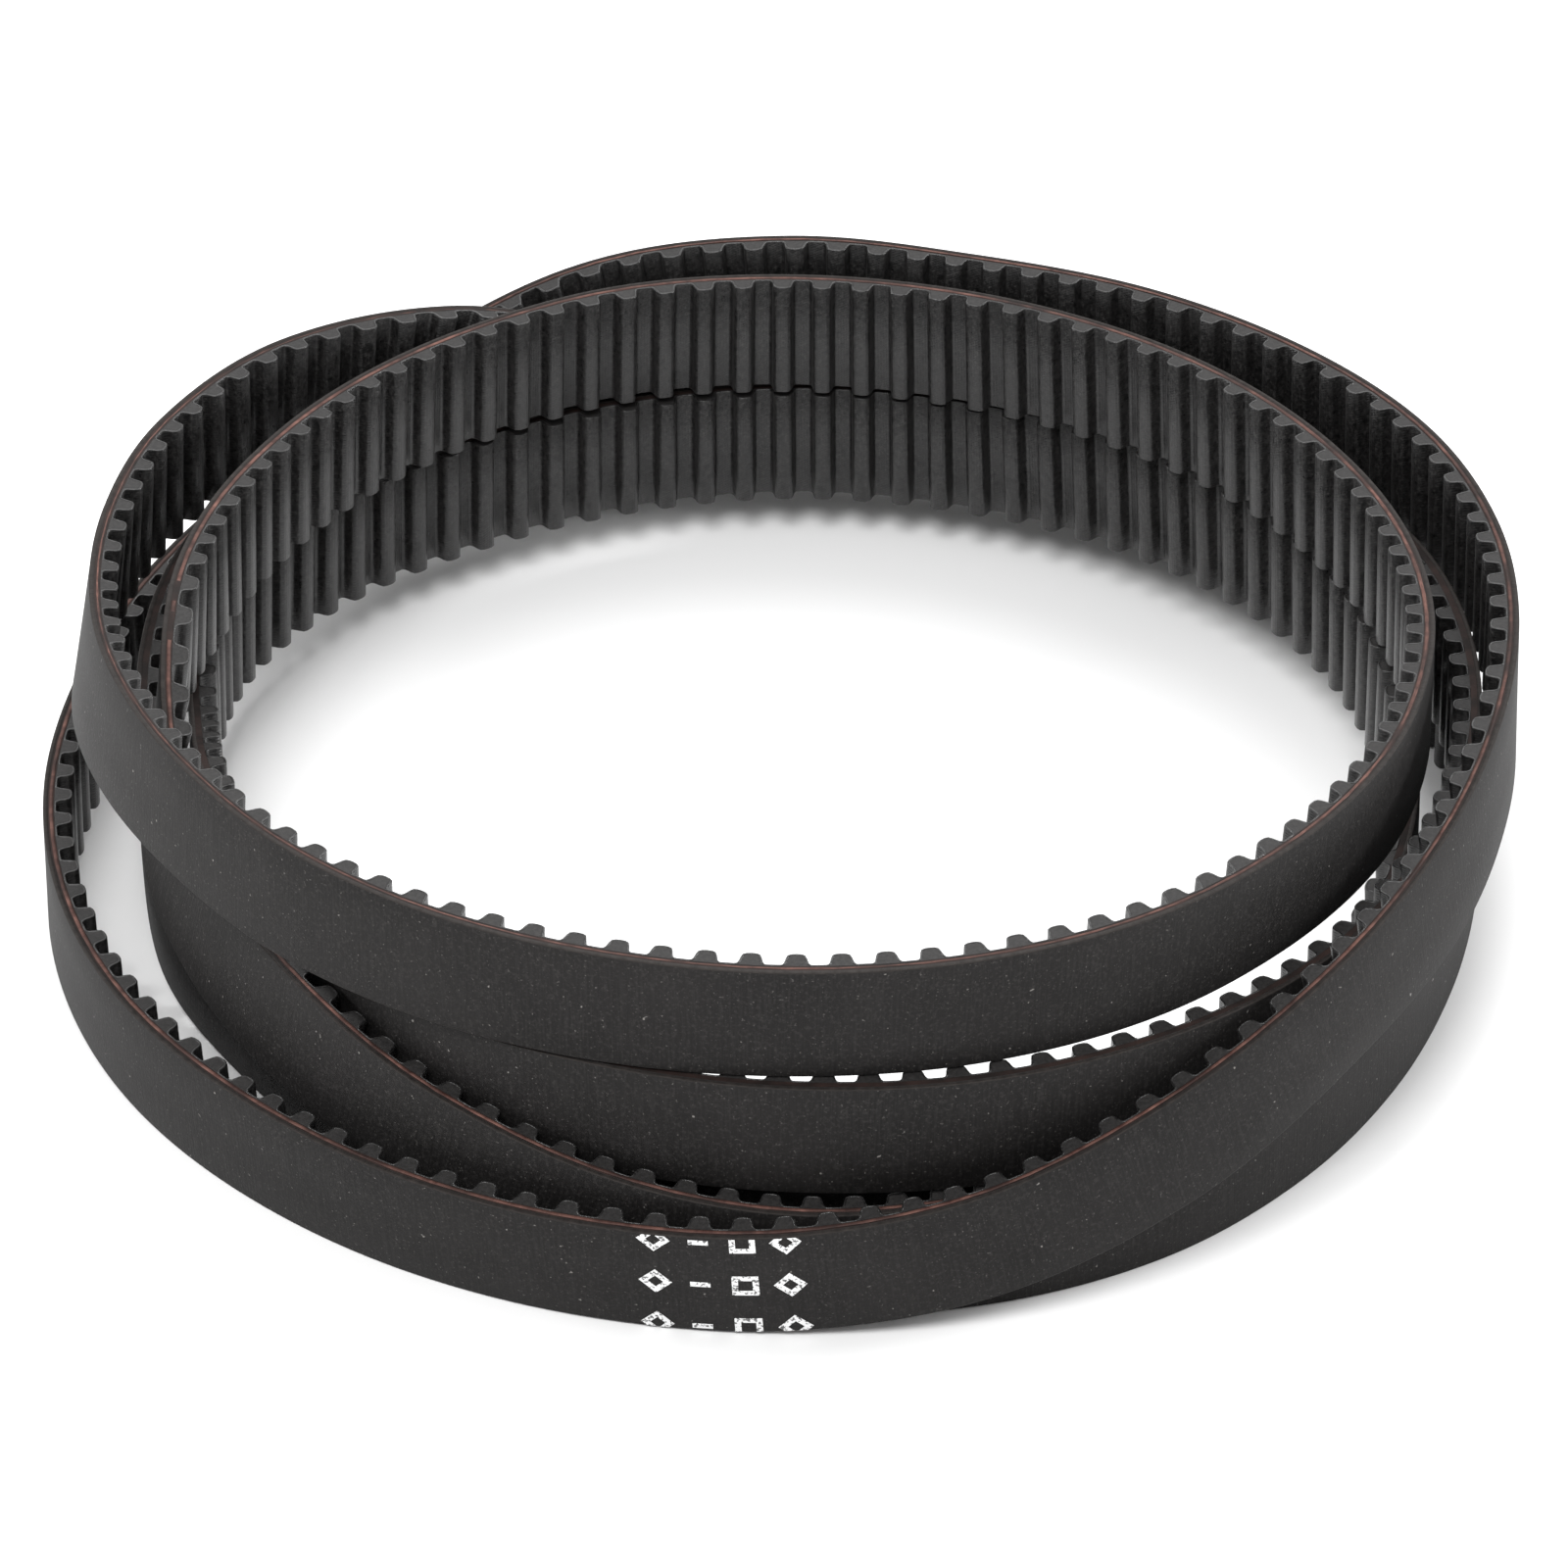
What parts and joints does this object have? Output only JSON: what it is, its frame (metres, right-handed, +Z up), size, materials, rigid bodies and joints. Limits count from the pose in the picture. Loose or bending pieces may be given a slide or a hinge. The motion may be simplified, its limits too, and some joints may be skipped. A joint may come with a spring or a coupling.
{
  "type": "timing belt",
  "caption": "Endless curved-tooth synchronous belt, lying loosely coiled, black rubber with a glass cord layer, fabric-faced teeth inside and small printed marks outside.",
  "frame": {"origin": "centre of the footprint box, on the surface the coil rests on", "axes": "+Z up across the belt's width, -Y towards the printed front, +X to the right seen from the front"},
  "size_m": [0.069, 0.0734, 0.0185],
  "materials": {
    "backing_rubber": "matte black rubber with a fine dusty bloom",
    "tension_cord_layer": "treated glass cord in rubber, reddish brown where the cut edge shows it",
    "tooth_cores": "matte black rubber",
    "tooth_facing_fabric": "charcoal nylon fabric with a fine weave",
    "printed_marks": "thin white ink"
  },
  "bodies": {
    "root": {"backing_rubber": "backing_rubber", "tension_cord_layer": "tension_cord_layer", "tooth_cores": "tooth_cores", "tooth_facing_fabric": "tooth_facing_fabric", "printed_marks": "printed_marks"}
  },
  "joints": []
}
